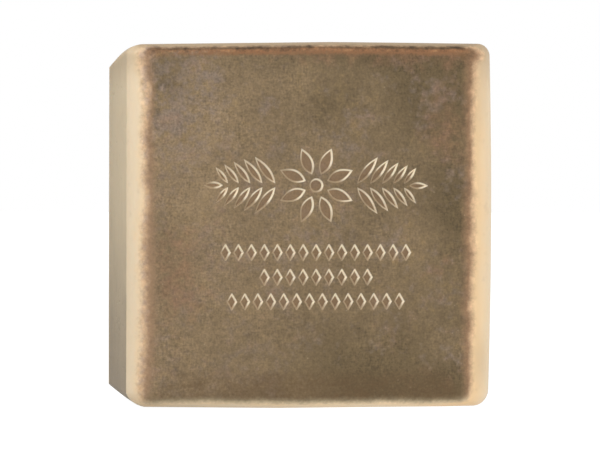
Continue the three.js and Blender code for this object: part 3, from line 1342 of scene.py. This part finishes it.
    def _soften(self, mesh: bpy.types.Mesh, parts: ClosedMesh) -> None:
        """Sinks the surface a little and unevenly, so that it undulates inside the plain form.

        Args:
            mesh: The mesh to change.
            parts: The parts that it was made from.
        """
        outward = np.empty(parts.count * 3)
        mesh.vertex_normals.foreach_get("vector", outward)
        outward = outward.reshape(-1, 3)
        flat = parts.value("flat")
        outward[flat != 0] = [0.0, -1.0, 0.0]
        outward[flat < 0] = [0.0, 1.0, 0.0]
        points = parts.all_points()
        swell = np.array([noise.noise(Vector(p / self.swell_size)) for p in points])
        dimple = np.array([noise.noise(Vector(p / self.dimple_size)) for p in points])
        inside = self.form.inside_edges(points[:, 0], points[:, 2]).min(axis=1)
        lively = self.calm_share + (1.0 - self.calm_share) * smooth_step(inside, *self.calm_edge)
        sink = self.swell_depth * (0.5 + 0.5 * swell) + self.dimple_depth * (0.5 + 0.5 * dimple)
        sink *= smooth_step(points[:, 2], *self.calm_foot) * lively
        mesh.vertices.foreach_set("co", ((points - outward * sink[:, None]) * MM).ravel())
        mesh.update()

    def _carry_values(self, mesh: bpy.types.Mesh, parts: ClosedMesh) -> None:
        """Stores the values that the finish reads, one for each point.

        Args:
            mesh: The mesh that carries them.
            parts: The parts that it was made from.
        """
        for name in parts.names:
            if name != "flat":
                mesh.attributes.new(name, "FLOAT", "POINT").data.foreach_set("value", parts.value(name))

    def _mark_crease(self, mesh: bpy.types.Mesh, crease: np.ndarray) -> None:
        """Shades the mesh smoothly, but for the crease round the front edge.

        Args:
            mesh: The mesh to shade.
            crease: The indices of the crease's points.
        """
        mesh.shade_smooth()
        on_crease = np.zeros(len(mesh.vertices), bool)
        on_crease[crease] = True
        ends = np.empty(len(mesh.edges) * 2, int)
        mesh.edges.foreach_get("vertices", ends)
        sharp = on_crease[ends.reshape(-1, 2)].all(axis=1)
        mesh.attributes.new("sharp_edge", "BOOLEAN", "EDGE").data.foreach_set("value", sharp)


@dataclass(frozen=True)
class SoftLamp:
    """A square soft lamp that looks at the middle of the block. Lengths are in metres."""

    name: str
    place: tuple[float, float, float]
    width: float
    power: float

    def build(self, aim: Vector) -> bpy.types.Object:
        """Adds the lamp.

        Args:
            aim: The point that it looks at.

        Returns:
            The lamp.
        """
        light = bpy.data.lights.new(self.name, "AREA")
        light.shape = "SQUARE"
        light.size = self.width
        light.energy = self.power
        lamp = linked(self.name, light)
        lamp.location = self.place
        lamp.rotation_euler = (aim - Vector(self.place)).to_track_quat("-Z", "Y").to_euler()
        return lamp


@dataclass(frozen=True)
class Glow:
    """How bright a backdrop is to the camera, and how much it lights the block from the left to the right."""

    seen: float
    left: float
    right: float
    left_until: float
    right_from: float

    def strength(self, kit: NodeKit, coordinates: str) -> Value:
        """The strength for a background or an emission.

        Args:
            coordinates: The texture coordinates whose X goes from the left to the right.

        Returns:
            The strength.
        """
        to_camera = Value(kit, kit.add("ShaderNodeLightPath", {}, {}).outputs["Is Camera Ray"])
        across = kit.along(kit.add("ShaderNodeTexCoord", {}, {}).outputs[coordinates], 0)
        cast = self.left + across.step(self.left_until, self.right_from) * (self.right - self.left)
        return to_camera * self.seen + (1.0 - to_camera) * cast


@dataclass(frozen=True)
class Studio:
    """A pale floor, a white surround and soft lamps. Lengths are in metres."""

    floor_width: float = 8.0
    floor_pale: float = 0.3
    floor_glow: Glow = Glow(seen=0.95, left=0.06, right=0.62, left_until=-0.12, right_from=0.03)
    surround: Glow = Glow(seen=1.0, left=0.18, right=0.76, left_until=-0.9, right_from=0.9)
    lamps: tuple[SoftLamp, ...] = (
        SoftLamp("key", (-0.60, -0.95, 0.42), 0.55, 5.2),
        SoftLamp("fill", (1.05, -0.42, 0.16), 0.60, 3.2),
        SoftLamp("top_left", (-0.20, -0.06, 0.27), 0.10, 0.36),
    )

    def build(self, aim: Vector) -> list[bpy.types.Object]:
        """Builds the floor, the surround and the lamps.

        Args:
            aim: The point that the lamps look at.

        Returns:
            The floor and the lamps.
        """
        self._surround()
        return [self._floor(), *(lamp.build(aim) for lamp in self.lamps)]

    def _surround(self) -> None:
        """A surround that is white to the camera and dimmer as a light."""
        world = bpy.data.worlds.new("studio")
        world.use_nodes = True
        kit = NodeKit(world.node_tree)
        sockets = {"Color": colour(255, 255, 255), "Strength": self.surround.strength(kit, "Generated")}
        background = kit.add("ShaderNodeBackground", {}, sockets)
        kit.add("ShaderNodeOutputWorld", {}, {"Surface": background.outputs[0]})
        bpy.context.scene.world = world

    def _floor(self) -> bpy.types.Object:
        """A large floor that is nearly white to the camera and takes a faint shadow.

        Returns:
            The floor.
        """
        half = self.floor_width / 2
        corners = [(-half, -half, 0), (half, -half, 0), (half, half, 0), (-half, half, 0)]
        mesh = bpy.data.meshes.new("floor")
        mesh.from_pydata(corners, [], [(0, 1, 2, 3)])
        paint = bpy.data.materials.new("floor_paint")
        paint.use_nodes = True
        kit = NodeKit(paint.node_tree)
        pale = (self.floor_pale, self.floor_pale, self.floor_pale, 1.0)
        diffuse = kit.add("ShaderNodeBsdfDiffuse", {}, {"Color": pale})
        glow_sockets = {"Color": colour(255, 255, 255), "Strength": self.floor_glow.strength(kit, "Object")}
        glow = kit.add("ShaderNodeEmission", {}, glow_sockets)
        both = kit.add("ShaderNodeAddShader", {}, {0: diffuse.outputs[0], 1: glow.outputs[0]})
        kit.add("ShaderNodeOutputMaterial", {}, {"Surface": both.outputs[0]})
        mesh.materials.append(paint)
        floor = linked("floor", mesh)
        return floor


@dataclass(frozen=True)
class PhotoCamera:
    """The photograph's view: a long lens, a little to the left of the block. Lengths are in millimetres."""

    target: tuple[float, float, float] = (0.28, 0.0, 43.50)
    distance: float = 720.0
    azimuth: float = math.radians(-9.73)
    elevation: float = math.radians(0.90)
    roll: float = math.radians(-0.20)
    sensor: float = 36.0
    lens: float = 175.59
    nearest: float = 10.0

    def build(self) -> bpy.types.Object:
        """Adds the camera and makes it the scene's.

        Returns:
            The camera.
        """
        level = math.cos(self.elevation)
        sideways, backwards = math.sin(self.azimuth), -math.cos(self.azimuth)
        back = Vector((sideways * level, backwards * level, math.sin(self.elevation)))
        right = Vector((0.0, 0.0, 1.0)).cross(back).normalized()
        up = back.cross(right)
        turn = Matrix((right, up, back)).transposed() @ Matrix.Rotation(-self.roll, 3, "Z")
        data = bpy.data.cameras.new("photo_camera")
        data.sensor_width = self.sensor
        data.lens = self.lens
        data.clip_start = self.nearest * MM
        camera = linked("photo_camera", data)
        place = (Vector(self.target) + back * self.distance) * MM
        camera.matrix_world = Matrix.Translation(place) @ turn.to_4x4()
        bpy.context.scene.camera = camera
        return camera


def main() -> None:
    """Loads the frame and builds the camera, the block and the studio."""
    logging.basicConfig(level=logging.INFO, format="%(name)s: %(message)s")
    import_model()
    low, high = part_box(NODE)
    size = (high - low) / MM
    camera = PhotoCamera().build()
    LOG.info("camera %s with a lens of %.1f mm", camera.name, camera.data.lens)
    block = CheddarBlock(BlockForm(width=size.x, height=size.z, depth=size.y)).build()
    LOG.info("block %s: %d points, %d faces", block.name, len(block.data.vertices), len(block.data.polygons))
    for item in Studio().build((low + high) / 2):
        LOG.info("studio %s", item.name)
    bpy.context.scene.view_settings.view_transform = "Standard"


if __name__ == "__main__":
    main()
